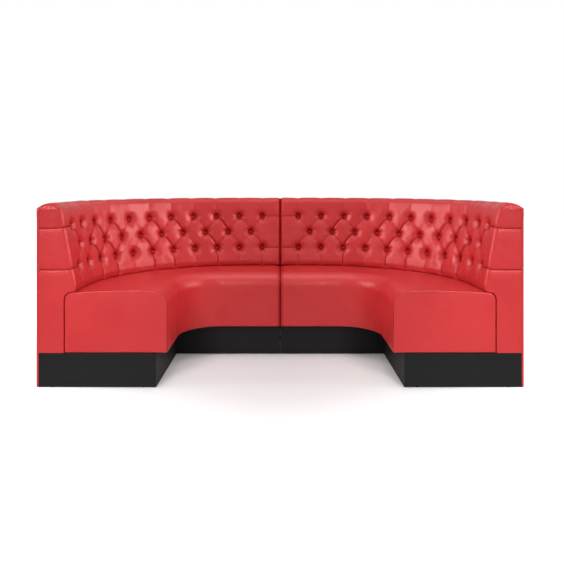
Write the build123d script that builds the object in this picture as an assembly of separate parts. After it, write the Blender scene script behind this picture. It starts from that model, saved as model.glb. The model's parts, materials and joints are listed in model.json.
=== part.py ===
from build123d import *
import math
import os

# A half-round banquette sofa in two mirrored halves that are bolted together at a seam in the middle.
# Frame: +Z up, origin on the floor under the middle of the whole sofa, open side facing -Y, millimetres.
# Every piece is drawn for the right-hand half (+X). "Inset" is the distance inwards from the outer line
# of the plan, which is a straight leg, a quarter circle and a second straight leg up to the seam.

# Overall plan
overall_width = 2235.2
overall_depth = 1117.6
outer_corner_radius = 926.0
halves_gap = 1.0
overrun = 20.0
soft_clearance = 0.3

# Plinth
glide_height = 3.0
glide_radius = 5.0
glide_pin_radius = 1.25
glide_pin_length = 12.0
pin_clearance = 0.05
plinth_height = 156.0
kick_thickness = 18.0
side_toe_recess = 48.5
back_toe_recess = 31.0
deck_thickness = 18.0
cleat_size = 20.0
cleat_end_space = 6.0
glide_end_distance = 60.0
panel_glide_shares = (0.3, 0.5, 0.7)

# Outer panel and its cover
outer_cover_thickness = 1.2
outer_panel_thickness = 9.0
outer_panel_top = 821.0

# Seat block
seat_inner_half_width = 520.0
seat_inner_depth = 533.5
seat_inner_corner_radius = 215.0
seat_rear_inset = 128.0
seat_crown_height = 447.0
seat_crown_inset = 430.0
seat_crown_radius = 3250.0
seat_front_roll = 76.0
seat_rear_roll = 36.0
seat_cover_thickness = 2.0
seat_wrap_thickness = 10.0
seat_end_panel_thickness = 10.0
seat_foam_bottom = 380.0
bent_board_thickness = 9.0
seat_base_thickness = 12.0
seat_rail_width = 30.0
seat_rail_height = 22.0
spring_space = 8.0
frame_board_thickness = 18.0
bulkhead_count = 5
bulkhead_margin = 60.0

# Seat springs and their clips
spring_count = 9
spring_wire_radius = 1.9
spring_bar_pitch = 32.0
spring_half_span = 14.0
clip_length = 14.0
clip_width = 22.0
clip_clearance = 0.3

# Back
back_lower_inset = 126.0
back_cushion_bottom = 438.0
back_face_low_inset = 178.0
back_rake_degrees = 10.5
back_top = 845.0
back_crown_inset = 70.0
back_top_roll = 30.0
back_end_roll = 24.0
back_seam_roll = 9.0
quilt_thickness = 30.0
back_foam_thickness = 30.0
end_cap_thickness = 12.0
back_core_top = 812.0
top_rail_height = 18.0
rib_thickness = 18.0
rib_column_share = 0.25
ribs_every_columns = 2

# Buttoned tufting
tuft_columns = 11
tuft_top_row = 734.0
tuft_row_pitch = 95.0
tuft_front_margin = 126.0
tuft_seam_margin = 111.0
tuft_reference_inset = 118.0
dimple_depth = 22.0
dimple_radius = 32.0
pleat_lift = 4.0
pleat_half_width = 27.0
pleat_neck_half_width = 8.0
pleat_shoulder_depth = 4.5
pleat_depth = 13.0
crown_pleat_depth = 8.0
level_pleat_half_width = 15.0
level_pleat_depth = 9.0
end_pleat_depth = 4.0
end_pleat_half_width = 7.0
button_radius = 11.0
button_rim = 2.5
button_dome = 4.0
button_seat_height = 2.4
twine_radius = 1.0
twine_clearance = 0.3
knot_radius = 4.0
knot_thickness = 3.0
knot_clearance = 0.2

# Bolts that join the halves
bolt_radius = 4.0
bolt_hole_clearance = 0.5
bolt_head_across_flats = 13.0
bolt_head_height = 5.3
nut_height = 6.5
bolt_thread_showing = 4.0
spacer_radius = 12.0
low_bolt_height = 70.0
middle_bolt_height = 300.0
high_bolt_height = 650.0
low_bolt_edge_distance = 60.0
middle_bolt_inset = 65.0
high_bolt_inset = 42.0

# Places worked out from the sizes above
half_width = overall_width / 2
front_y = -overall_depth / 2
back_y = overall_depth / 2
corner_x = half_width - outer_corner_radius
corner_y = back_y - outer_corner_radius
seam_x = halves_gap / 2
plinth_top = glide_height + plinth_height
frame_inset = outer_cover_thickness + outer_panel_thickness
kick_side_x = seat_inner_half_width + side_toe_recess
kick_back_y = front_y + seat_inner_depth + back_toe_recess
seat_inner_y = front_y + seat_inner_depth
seat_corner_x = seat_inner_half_width - seat_inner_corner_radius
seat_corner_y = seat_inner_y - seat_inner_corner_radius
seat_rail_top = seat_foam_bottom - spring_space
back_tuck_radius = seat_rear_roll + seat_rear_inset - back_lower_inset
rake = math.radians(back_rake_degrees)
up = (0, 0, 1)
standing = (Align.CENTER, Align.CENTER, Align.MIN)


# The bent plan

def leg_plane(y):
    """Plane across the front leg: its X is the inset and its Y is the height."""
    return Plane(origin=(half_width, y, 0), x_dir=(-1, 0, 0), z_dir=(0, 1, 0))


def seam_leg_plane(x):
    """Plane across the seam leg: its X is the inset and its Y is the height."""
    return Plane(origin=(x, back_y, 0), x_dir=(0, -1, 0), z_dir=(-1, 0, 0))


def bend(profile, front_gap=0, seam_gap=0):
    """Carries an (inset, height) profile along the front leg, round the corner and along the seam leg."""
    start = front_y + front_gap
    end = seam_x + seam_gap
    front_leg = extrude(leg_plane(start) * profile, amount=corner_y - start)
    corner = revolve(leg_plane(corner_y) * profile, Axis((corner_x, corner_y, 0), up), 90)
    seam_leg = extrude(seam_leg_plane(corner_x) * profile, amount=corner_x - end)
    return front_leg + corner + seam_leg


def polygon(*points):
    return make_face(Polyline(*points, close=True))


def strip(inset_a, inset_b, low, high):
    """Rectangular profile between two insets and two heights."""
    return polygon((inset_a, low), (inset_b, low), (inset_b, high), (inset_a, high))


def path_length(inset):
    return (corner_y - front_y) + (corner_x - seam_x) + (outer_corner_radius - inset) * math.pi / 2


def station(distance, inset):
    """Frame on the outer line where a path at this inset has run this far from the front.
    Its X points inwards, square to the line, and its Z points up."""
    radius = outer_corner_radius - inset
    leg = corner_y - front_y
    if distance <= leg:
        return Location((half_width, front_y + distance, 0), (0, 0, 180))
    turned = (distance - leg) / radius
    if turned < math.pi / 2:
        x = corner_x + outer_corner_radius * math.cos(turned)
        y = corner_y + outer_corner_radius * math.sin(turned)
        return Location((x, y, 0), (0, 0, 180 + math.degrees(turned)))
    past = distance - leg - radius * math.pi / 2
    return Location((corner_x - past, back_y, 0), (0, 0, 270))


def block(x0, x1, y0, y1, z0, z1):
    return Pos((x0 + x1) / 2, (y0 + y1) / 2, (z0 + z1) / 2) * Box(x1 - x0, y1 - y0, z1 - z0)


def at_height(plan, low, high):
    return extrude(Pos(0, 0, low) * plan, amount=high - low)


# Seat plan: the inner edge has its own, tighter corner

def seat_plan(inner_offset, rear_inset, front_gap, seam_gap):
    """Plan between the seat's inner edge, moved outwards by inner_offset, and a rear inset."""
    inner_x = seat_inner_half_width + inner_offset
    inner_y = seat_inner_y + inner_offset
    inner_radius = seat_inner_corner_radius + inner_offset
    start_y = front_y + front_gap
    end_x = seam_x + seam_gap
    rear_x = half_width - rear_inset
    rear_y = back_y - rear_inset
    rear_radius = outer_corner_radius - rear_inset
    diagonal = math.sqrt(0.5)
    inner_middle = (seat_corner_x + inner_radius * diagonal, seat_corner_y + inner_radius * diagonal)
    rear_middle = (corner_x + rear_radius * diagonal, corner_y + rear_radius * diagonal)
    edges = [
        Line((inner_x, start_y), (inner_x, seat_corner_y)),
        ThreePointArc((inner_x, seat_corner_y), inner_middle, (seat_corner_x, inner_y)),
        Line((seat_corner_x, inner_y), (end_x, inner_y)),
        Line((end_x, inner_y), (end_x, rear_y)),
        Line((end_x, rear_y), (corner_x, rear_y)),
        ThreePointArc((corner_x, rear_y), rear_middle, (rear_x, corner_y)),
        Line((rear_x, corner_y), (rear_x, start_y)),
        Line((rear_x, start_y), (inner_x, start_y)),
    ]
    return make_face(edges)


def past_inner_edge(x, y, offset):
    """Distance from the seat's inner edge, moved outwards by offset, positive on the seat's side."""
    if y < seat_corner_y:
        return x - seat_inner_half_width - offset
    if x < seat_corner_x:
        return y - seat_inner_y - offset
    return math.hypot(x - seat_corner_x, y - seat_corner_y) - seat_inner_corner_radius - offset


def inset_at_inner_edge(place, offset):
    """Inset at which a line square to the outer line meets the seat's inner edge, moved by offset."""
    direction = Plane(place).x_dir
    near, far = 0.0, outer_corner_radius
    for _ in range(40):
        middle = (near + far) / 2
        point = place.position + direction * middle
        if past_inner_edge(point.X, point.Y, offset) > 0:
            near = middle
        else:
            far = middle
    return near


# Plinth

def glide_places():
    """Floor points of the glides: under the kick boards, then under the outer panel."""
    board_middle = kick_thickness / 2
    points = [
        (kick_side_x + glide_end_distance, front_y + board_middle),
        (half_width - frame_inset - glide_end_distance, front_y + board_middle),
        (kick_side_x + board_middle, kick_back_y - glide_end_distance),
        (seam_x + glide_end_distance, kick_back_y + board_middle),
        (seam_x + board_middle, back_y - frame_inset - glide_end_distance),
    ]
    panel_middle = (outer_cover_thickness + frame_inset) / 2
    length = path_length(panel_middle)
    for share in panel_glide_shares:
        foot = station(length * share, panel_middle) * Pos(panel_middle, 0, 0)
        points.append((foot.position.X, foot.position.Y))
    return points


def glide_pin_holes():
    radius = glide_pin_radius + pin_clearance
    hole = Cylinder(radius, glide_pin_length + pin_clearance, align=standing)
    return [Pos(x, y, glide_height) * hole for x, y in glide_places()]


def glides():
    foot = Cylinder(glide_radius, glide_height, align=standing)
    pin = Cylinder(glide_pin_radius, glide_pin_length, align=standing)
    glide = foot + Pos(0, 0, glide_height) * pin
    return [Pos(x, y, 0) * glide for x, y in glide_places()]


def kick_end_board():
    board = block(kick_side_x, half_width - frame_inset, front_y, front_y + kick_thickness,
                  glide_height, plinth_top)
    return board - glide_pin_holes()


def kick_side_board():
    board = block(kick_side_x, kick_side_x + kick_thickness, front_y + kick_thickness, kick_back_y,
                  glide_height, plinth_top)
    return board - glide_pin_holes()


def kick_back_board():
    board = block(seam_x, kick_side_x + kick_thickness, kick_back_y, kick_back_y + kick_thickness,
                  glide_height, plinth_top)
    return board - glide_pin_holes()


def kick_seam_board():
    board = block(seam_x, seam_x + kick_thickness, kick_back_y + kick_thickness, back_y - frame_inset,
                  glide_height, plinth_top)
    return board - glide_pin_holes() - bolt_holes()


def base_deck():
    """Panel inside the kick boards and the outer panel that carries the seat block and the back."""
    inner_x = kick_side_x + kick_thickness
    inner_y = kick_back_y + kick_thickness
    end_x = seam_x + kick_thickness
    start_y = front_y + kick_thickness
    radius = outer_corner_radius - frame_inset
    bulge = radius * math.sqrt(0.5)
    outer_x = half_width - frame_inset
    outer_y = back_y - frame_inset
    plan = make_face([
        Line((inner_x, start_y), (outer_x, start_y)),
        Line((outer_x, start_y), (outer_x, corner_y)),
        ThreePointArc((outer_x, corner_y), (corner_x + bulge, corner_y + bulge), (corner_x, outer_y)),
        Line((corner_x, outer_y), (end_x, outer_y)),
        Line((end_x, outer_y), (end_x, inner_y)),
        Line((end_x, inner_y), (inner_x, inner_y)),
        Line((inner_x, inner_y), (inner_x, start_y)),
    ])
    return at_height(plan, plinth_top - deck_thickness, plinth_top)


def deck_cleats():
    """Square battens under the deck's edges."""
    low = plinth_top - deck_thickness - cleat_size
    high = plinth_top - deck_thickness
    end_y = front_y + kick_thickness
    side_x = kick_side_x + kick_thickness
    rear_y = kick_back_y + kick_thickness
    seam_face = seam_x + kick_thickness
    space = cleat_size + cleat_end_space
    outer = half_width - frame_inset
    outer_start = kick_thickness + space
    return [
        block(side_x + space, outer - space, end_y, end_y + cleat_size, low, high),
        block(side_x, side_x + cleat_size, end_y, kick_back_y, low, high),
        block(seam_face + space, side_x - cleat_end_space, rear_y, rear_y + cleat_size, low, high),
        block(seam_face, seam_face + cleat_size, rear_y, back_y - frame_inset - space, low, high),
        bend(strip(frame_inset, frame_inset + cleat_size, low, high), outer_start, kick_thickness),
    ]


# Outer panel

def outer_panel():
    profile = strip(outer_cover_thickness, frame_inset, glide_height, outer_panel_top - outer_cover_thickness)
    return bend(profile, outer_cover_thickness, outer_cover_thickness) - glide_pin_holes()


def outer_cover():
    """Vinyl drawn round the outer panel's face, top and both upright ends."""
    wrapped = bend(strip(0, frame_inset, glide_height, outer_panel_top))
    inside = strip(outer_cover_thickness, frame_inset + overrun, glide_height - overrun,
                   outer_panel_top - outer_cover_thickness)
    return wrapped - bend(inside, outer_cover_thickness, outer_cover_thickness)


# Seat block

def seat_section(lowered):
    """Section under the seat's crowned top, lowered by the given amount."""
    crown = Pos(seat_crown_inset, seat_crown_height - seat_crown_radius) * Circle(seat_crown_radius - lowered)
    return crown & strip(seat_rear_inset - overrun, outer_corner_radius - overrun, plinth_top - overrun,
                         seat_crown_height + overrun)


def seat_envelope(inset, front_gap, seam_gap, bottom):
    """The upholstered seat block's outer shape, drawn in all round by inset."""
    plan = seat_plan(inset, seat_rear_inset + inset, front_gap, seam_gap)
    crowned = bend(seat_section(inset), front_gap - overrun, -seam_x)
    solid = at_height(plan, bottom, seat_crown_height + overrun) & crowned
    inner = [e for e in top_edges(solid) if on_inner_edge(e, inset)]
    solid = fillet(inner, seat_front_roll - inset)
    rear = [e for e in top_edges(solid) if on_rear_edge(e, seat_rear_inset + inset)]
    return fillet(rear, seat_rear_roll - inset)


def top_edges(solid):
    return [e for e in solid.edges() if e.center().Z > back_cushion_bottom - seat_front_roll]


def on_inner_edge(edge, offset):
    points = [edge @ share for share in (0, 0.5, 1)]
    return all(abs(past_inner_edge(p.X, p.Y, offset)) < pin_clearance for p in points)


def outer_inset(point):
    """How far a point lies inwards from the outer line."""
    if point.Y < corner_y:
        return half_width - point.X
    if point.X < corner_x:
        return back_y - point.Y
    return outer_corner_radius - math.hypot(point.X - corner_x, point.Y - corner_y)


def on_rear_edge(edge, inset):
    return all(abs(outer_inset(edge @ share) - inset) < pin_clearance for share in (0, 0.5, 1))


def seat_end_slab():
    return block(0, half_width, front_y - overrun, front_y + seat_end_panel_thickness, 0, back_top)


def seat_end_panel():
    return seat_envelope(0, 0, 0, plinth_top) & seat_end_slab()


def seat_cover():
    outside = seat_envelope(0, 0, 0, plinth_top) - seat_end_slab()
    return outside - seat_envelope(seat_cover_thickness, -overrun, seat_cover_thickness, plinth_top - overrun)


def seat_foam():
    """Foam slab on the frame with a thin wrap down the inner face."""
    inset = seat_cover_thickness + soft_clearance
    body = seat_envelope(inset, seat_end_panel_thickness + soft_clearance, inset, plinth_top)
    wrap = seat_cover_thickness + seat_wrap_thickness
    frame_space = seat_plan(wrap, seat_rear_inset - overrun, 0, -overrun)
    return body - at_height(frame_space, plinth_top - overrun, seat_foam_bottom)


seat_wood_offset = seat_cover_thickness + seat_wrap_thickness
seat_board_offset = seat_wood_offset + bent_board_thickness
seat_wood_inset = seat_rear_inset + seat_cover_thickness
seat_board_inset = seat_wood_inset + bent_board_thickness
seat_front_gap = seat_end_panel_thickness + frame_board_thickness
seat_seam_gap = seat_cover_thickness + frame_board_thickness


def seat_space(offset, rear_inset, low, high):
    """Space between the seat's end board and seam board."""
    return at_height(seat_plan(offset, rear_inset, seat_front_gap, seat_seam_gap), low, high)


def seat_fascia():
    outside = at_height(seat_plan(seat_wood_offset, seat_rear_inset, seat_end_panel_thickness,
                                  seat_cover_thickness), plinth_top, seat_foam_bottom)
    inside = at_height(seat_plan(seat_board_offset, seat_rear_inset - overrun, -overrun, -overrun),
                       plinth_top - overrun, seat_foam_bottom + overrun)
    return outside - inside


def seat_rear_wall():
    return bend(strip(seat_wood_inset, seat_board_inset, plinth_top, seat_foam_bottom),
                seat_end_panel_thickness, seat_cover_thickness)


def seat_end_board():
    inner_x = seat_inner_half_width + seat_board_offset
    start = front_y + seat_end_panel_thickness
    return block(inner_x, half_width - seat_board_inset, start, start + frame_board_thickness,
                 plinth_top, seat_foam_bottom)


def seat_seam_board():
    start = seam_x + seat_cover_thickness
    return block(start, start + frame_board_thickness, seat_inner_y + seat_board_offset,
                 back_y - seat_board_inset, plinth_top, seat_foam_bottom)


def seat_base():
    return seat_space(seat_board_offset, seat_board_inset, plinth_top, plinth_top + seat_base_thickness)


def seat_front_rail():
    low = seat_rail_top - seat_rail_height
    outside = seat_space(seat_board_offset, seat_board_inset, low, seat_rail_top)
    inside = at_height(seat_plan(seat_board_offset + seat_rail_width, seat_rear_inset, -overrun, -overrun),
                       low - overrun, seat_rail_top + overrun)
    return outside - inside


def seat_rear_rail():
    low = seat_rail_top - seat_rail_height
    return bend(strip(seat_board_inset, seat_board_inset + seat_rail_width, low, seat_rail_top),
                seat_front_gap, seat_seam_gap)


def seat_bulkheads():
    """Upright boards across the seat box, under the spring rails."""
    low = plinth_top + seat_base_thickness
    high = seat_rail_top - seat_rail_height
    space = seat_space(seat_board_offset, seat_board_inset, low, high)
    length = path_length(seat_crown_inset)
    spread = length - seat_front_gap - seat_seam_gap - bulkhead_margin - bulkhead_margin
    boards = []
    for number in range(bulkhead_count):
        share = number / (bulkhead_count - 1)
        place = station(seat_front_gap + bulkhead_margin + spread * share, seat_crown_inset)
        side = frame_board_thickness / 2
        boards.append((place * block(0, outer_corner_radius, -side, side, low, high)) & space)
    return boards


# Springs

def spring_stations():
    """Each spring's frame, its rear bar's inset and its front bar's inset."""
    length = path_length(seat_crown_inset)
    usable = length - seat_front_gap - seat_seam_gap
    found = []
    for number in range(spring_count):
        share = (number + 0.5) / spring_count
        place = station(seat_front_gap + usable * share, seat_crown_inset)
        rear = seat_board_inset + seat_rail_width / 2
        front = inset_at_inner_edge(place, seat_board_offset + seat_rail_width / 2)
        found.append((place, rear, front))
    return found


def sinuous_spring(length):
    """Zigzag wire of straight bars joined by half circles, from one bar at X 0 to one at X length."""
    turns = max(2, 2 * round(length / spring_bar_pitch / 2))
    pitch = length / turns
    side = spring_half_span
    edges = [Line((0, -side, 0), (0, side, 0))]
    for turn in range(turns):
        x = pitch * turn
        tip = (x + pitch / 2, side + math.copysign(pitch / 2, side), 0)
        edges.append(ThreePointArc((x, side, 0), tip, (x + pitch, side, 0)))
        edges.append(Line((x + pitch, side, 0), (x + pitch, -side, 0)))
        side = -side
    path = Wire(edges)
    section = Plane(origin=path @ 0, z_dir=path % 0) * Circle(spring_wire_radius)
    return sweep(section, path)


def seat_springs():
    height = seat_rail_top + spring_space / 2
    return [place * Pos(rear, 0, height) * sinuous_spring(front - rear)
            for place, rear, front in spring_stations()]


def spring_clips():
    """Clips on the rails that hold each spring's end bars."""
    bar = Rot(90, 0, 0) * Cylinder(spring_wire_radius + clip_clearance, clip_width + overrun)
    clip = Box(clip_length, clip_width, spring_space) - bar
    height = seat_rail_top + spring_space / 2
    return [place * Pos(inset, 0, height) * clip
            for place, rear, front in spring_stations() for inset in (rear, front)]


# Back

def face_inset(height):
    """Inset of the raked cushion face at a height."""
    return back_face_low_inset - (height - back_cushion_bottom) * math.tan(rake)


def back_wood_profile(lower_setback, upper_setback, low, high):
    """Frame profile behind the lower board's face and the raked face, set back by the given amounts."""
    step = back_cushion_bottom
    lower = back_lower_inset - lower_setback
    return polygon((frame_inset, low), (lower, low), (lower, step),
                   (face_inset(step) - upper_setback, step), (face_inset(high) - upper_setback, high),
                   (frame_inset, high))


def raked_strip(setback, thickness, low, high):
    """Raked profile that starts setback behind the cushion face."""
    return polygon((face_inset(low) - setback - thickness, low), (face_inset(low) - setback, low),
                   (face_inset(high) - setback, high), (face_inset(high) - setback - thickness, high))


board_setback = quilt_thickness + back_foam_thickness
rib_setback = board_setback + bent_board_thickness


def back_end_board():
    profile = back_wood_profile(0, board_setback, plinth_top, back_core_top)
    return extrude(leg_plane(front_y + end_cap_thickness) * profile, amount=frame_board_thickness)


def back_seam_board():
    profile = back_wood_profile(0, board_setback, plinth_top, back_core_top)
    board = extrude(seam_leg_plane(seam_x + frame_board_thickness) * profile, amount=frame_board_thickness)
    return board - bolt_holes()


back_front_gap = end_cap_thickness + frame_board_thickness
back_seam_gap = frame_board_thickness


def back_lower_board():
    rear = back_lower_inset - bent_board_thickness
    return bend(strip(rear, back_lower_inset, plinth_top, back_cushion_bottom), back_front_gap, back_seam_gap)


def back_tuft_board():
    """Raked board that the buttons are tied to."""
    profile = raked_strip(board_setback, bent_board_thickness, back_cushion_bottom, back_core_top)
    return bend(profile, back_front_gap, back_seam_gap) - twine_holes()


def back_top_rail():
    low = back_core_top - top_rail_height
    profile = polygon((frame_inset, low), (face_inset(low) - rib_setback, low),
                      (face_inset(back_core_top) - rib_setback, back_core_top), (frame_inset, back_core_top))
    return bend(profile, back_front_gap, back_seam_gap)


def back_ribs():
    profile = back_wood_profile(bent_board_thickness, rib_setback, plinth_top,
                                back_core_top - top_rail_height)
    upright = Plane(origin=(0, rib_thickness / 2, 0), x_dir=(1, 0, 0), z_dir=(0, -1, 0))
    rib = extrude(upright * profile, amount=rib_thickness)
    ribs = []
    for column in range(0, tuft_columns - 1, ribs_every_columns):
        distance = tuft_front_margin + (column + rib_column_share) * tuft_pitch
        ribs.append(station(distance, tuft_reference_inset) * rib)
    return ribs


def back_foam():
    profile = raked_strip(quilt_thickness + soft_clearance, back_foam_thickness - soft_clearance,
                          back_cushion_bottom + soft_clearance, back_core_top - soft_clearance)
    return bend(profile, end_cap_thickness + soft_clearance) - twine_holes()


# Tufted cover

tuft_pitch = (path_length(tuft_reference_inset) - tuft_front_margin - tuft_seam_margin) / (tuft_columns - 1)
tuft_rows = [tuft_top_row - tuft_row_pitch * row for row in range(3)]


def button_places():
    """(distance along the path, height) of every button: full rows above and below a staggered one."""
    full = [tuft_front_margin + tuft_pitch * column for column in range(tuft_columns)]
    staggered = [distance + tuft_pitch / 2 for distance in full[:-1]]
    top, middle, bottom = tuft_rows
    return [(d, top) for d in full] + [(d, middle) for d in staggered] + [(d, bottom) for d in full]


def face_frame(distance, height):
    """Frame on the cushion face: Z points out of the face towards the sitter."""
    place = station(distance, tuft_reference_inset) * Pos(face_inset(height), 0, height)
    return place * Rot(0, 90 - back_rake_degrees, 0)


def pleat_section(half_width_here, neck, shoulder, depth):
    """Cusped section of a pleat in a plane whose X points out of the face."""
    return polygon((pleat_lift, -half_width_here), (0, -half_width_here), (-shoulder, -neck), (-depth, 0),
                   (-shoulder, neck), (0, half_width_here), (pleat_lift, half_width_here))


def pleat(start, end, outward, half_width_here=pleat_half_width, depth=pleat_depth):
    """Groove from one point to another in a face that faces outward."""
    along = end - start
    scale = half_width_here / pleat_half_width
    neck = pleat_neck_half_width * scale
    section = pleat_section(half_width_here, neck, pleat_shoulder_depth * scale, depth)
    side = along.cross(outward)
    square = side.cross(along).normalized()
    return extrude(Plane(origin=start, x_dir=square, z_dir=along) * section, amount=along.length)


def face_pleat(a, b, **section):
    first, second = face_frame(*a), face_frame(*b)
    outward = Plane(first).z_dir + Plane(second).z_dir
    return pleat(first.position, second.position, outward, **section)


def tuft_pleats():
    """Diagonal pleats between the rows, upright ones above and below, and level ones out to both ends."""
    top, middle, bottom = tuft_rows
    last = tuft_front_margin + tuft_pitch * (tuft_columns - 1)
    end = path_length(tuft_reference_inset)
    pleats = []
    for column in range(tuft_columns - 1):
        near = tuft_front_margin + tuft_pitch * column
        between = (near + tuft_pitch / 2, middle)
        for distance in (near, near + tuft_pitch):
            pleats.append(face_pleat(between, (distance, top)))
            pleats.append(face_pleat(between, (distance, bottom)))
    crown_face = face_inset(back_top)
    for column in range(tuft_columns):
        distance = tuft_front_margin + tuft_pitch * column
        pleats.append(face_pleat((distance, top), (distance, back_top)))
        pleats.append(face_pleat((distance, bottom), (distance, back_cushion_bottom - pleat_depth)))
        place = station(distance, tuft_reference_inset)
        over = [(place * Pos(inset, 0, back_top)).position for inset in (crown_face, 0)]
        pleats.append(pleat(over[0], over[1], Vector(0, 0, 1), depth=crown_pleat_depth))
    for height in (top, bottom):
        level = {"half_width_here": level_pleat_half_width, "depth": level_pleat_depth}
        pleats.append(face_pleat((last, height), (end + pleat_lift, height), **level))
        pleats.append(face_pleat((tuft_front_margin, height), (-pleat_lift, height), **level))
        inner, outer = [Vector(half_width - inset, front_y, height) for inset in (face_inset(height), 0)]
        pleats.append(pleat(inner, outer, Vector(0, -1, 0), end_pleat_half_width, end_pleat_depth))
    return pleats


def dimples():
    ball = Sphere(dimple_radius)
    lift = dimple_radius - dimple_depth
    return [face_frame(*place) * Pos(0, 0, lift) * ball for place in button_places()]


def twine_length():
    return quilt_thickness + back_foam_thickness + bent_board_thickness


def twine_holes():
    hole = Cylinder(twine_radius + twine_clearance, twine_length() + overrun)
    return [face_frame(*place) * Pos(0, 0, -twine_length() / 2) * hole for place in button_places()]


def back_outline():
    """The whole upholstered back in section: lower front, raked face, crown and outer side."""
    outer_top = (0, outer_panel_top)
    crown = (back_crown_inset, back_top)
    top_corner = (face_inset(back_top), back_top)
    low_corner = (back_face_low_inset, back_cushion_bottom)
    tuck_corner = (back_lower_inset, back_cushion_bottom)
    face = make_face([
        Line((frame_inset, plinth_top), (frame_inset, outer_panel_top)),
        Line((frame_inset, outer_panel_top), outer_top),
        TangentArc(crown, outer_top, tangent=(-1, 0)),
        Line(crown, top_corner),
        Line(top_corner, low_corner),
        Line(low_corner, tuck_corner),
        Line(tuck_corner, (back_lower_inset, plinth_top)),
        Line((back_lower_inset, plinth_top), (frame_inset, plinth_top)),
    ])
    rolled = fillet(face.vertices().sort_by_distance(top_corner)[0], back_top_roll)
    return fillet(rolled.vertices().sort_by_distance(tuck_corner)[0], back_tuck_radius)


def back_core():
    """Space behind the quilted layer that the foam and the frame fill."""
    low = back_cushion_bottom - overrun
    outer = frame_inset / 2
    profile = polygon((outer, plinth_top - overrun), (outer, back_core_top),
                      (face_inset(back_core_top) - quilt_thickness, back_core_top),
                      (face_inset(low) - quilt_thickness, low),
                      (face_inset(low) - quilt_thickness, plinth_top - overrun))
    return bend(profile, end_cap_thickness, -seam_x)


def back_cover():
    """Tufted vinyl with its wadding: raked face, crown and the capped front end."""
    shape = bend(back_outline())
    raked = [e for e in shape.edges() if on_end_face(e, front_y)]
    shape = fillet(raked, back_end_roll)
    seam = [e for e in shape.edges() if abs(e.center().X - seam_x) < pin_clearance and is_raked(e)]
    shape = fillet(seam, back_seam_roll)
    return shape - back_core() - dimples() - tuft_pleats() - twine_holes()


def is_raked(edge):
    """True for the edge of an end face that runs up the cushion face."""
    low, high = sorted((edge @ 0, edge @ 1), key=lambda p: p.Z)
    return high.Z - low.Z > tuft_row_pitch and low.Z > back_cushion_bottom - overrun


def on_end_face(edge, y):
    return abs((edge @ 0).Y - y) < pin_clearance and abs((edge @ 1).Y - y) < pin_clearance and is_raked(edge)


def back_buttons():
    """Domed buttons at the bottom of the dimples."""
    rim = Cylinder(button_radius, button_rim, align=standing)
    ball_radius = (button_radius ** 2 + button_dome ** 2) / (2 * button_dome)
    ball = Pos(0, 0, button_rim + button_dome - ball_radius) * Sphere(ball_radius)
    above = Pos(0, 0, button_rim) * Cylinder(button_radius, overrun, align=standing)
    button = rim + (ball & above)
    return [face_frame(*place) * Pos(0, 0, button_seat_height - dimple_depth) * button
            for place in button_places()]


def button_ties():
    """Twine from each button through foam and board to a knot behind the board."""
    front = button_seat_height - dimple_depth
    back = -twine_length() - knot_clearance
    twine = Pos(0, 0, back) * Cylinder(twine_radius, front - back, align=standing)
    knot = Pos(0, 0, back - knot_thickness) * Cylinder(knot_radius, knot_thickness, align=standing)
    tie = twine + knot
    return [face_frame(*place) * tie for place in button_places()]


# Bolts that join the halves

def bolt_places():
    """(y, z) of each bolt across the seam."""
    front = kick_back_y + kick_thickness + low_bolt_edge_distance
    rear = back_y - frame_inset - low_bolt_edge_distance
    return [(front, low_bolt_height), (rear, low_bolt_height),
            (back_y - middle_bolt_inset, middle_bolt_height), (back_y - high_bolt_inset, high_bolt_height)]


def across_seam(shape):
    return [Pos(0, y, z) * shape for y, z in bolt_places()]


def bolt_holes():
    radius = bolt_radius + bolt_hole_clearance
    return across_seam(Rot(0, 90, 0) * Cylinder(radius, overall_width / 2))


def hexagon(height):
    return extrude(RegularPolygon(bolt_head_across_flats / 2, 6, major_radius=False), amount=height)


def joining_bolts():
    """Bolts with their heads on the right half's boards."""
    grip = seam_x + frame_board_thickness
    shank_length = grip + grip + nut_height + bolt_thread_showing
    shank = Pos(0, 0, grip - shank_length) * Cylinder(bolt_radius, shank_length, align=standing)
    bolt = shank + Pos(0, 0, grip) * hexagon(bolt_head_height)
    return across_seam(Rot(0, 90, 0) * bolt)


def joining_nuts():
    grip = seam_x + frame_board_thickness
    bore = Cylinder(bolt_radius + pin_clearance, nut_height + overrun)
    nut = Pos(0, 0, -grip - nut_height) * hexagon(nut_height)
    return across_seam(Rot(0, 90, 0) * (nut - Pos(0, 0, -grip) * bore))


def joining_spacers():
    """Discs that fill the gap between the halves round each bolt."""
    disc = Cylinder(spacer_radius, halves_gap) - Cylinder(bolt_radius + bolt_hole_clearance, halves_gap)
    return across_seam(Rot(0, 90, 0) * disc)


# Writing the pieces out

def mirrored(shape):
    return mirror(shape, about=Plane.YZ)


def save(name, shapes):
    group = shapes if isinstance(shapes, list) else [shapes]
    solids = [solid for shape in group for solid in shape.solids()]
    export_step(Compound(children=solids) if len(solids) > 1 else solids[0], f"parts/{name}.step")
    print(name, len(solids), "solids", round(sum(s.volume for s in solids) / 1e3), "cm3")


def both_sides(shapes):
    return shapes + [mirrored(shape) for shape in shapes]


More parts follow.
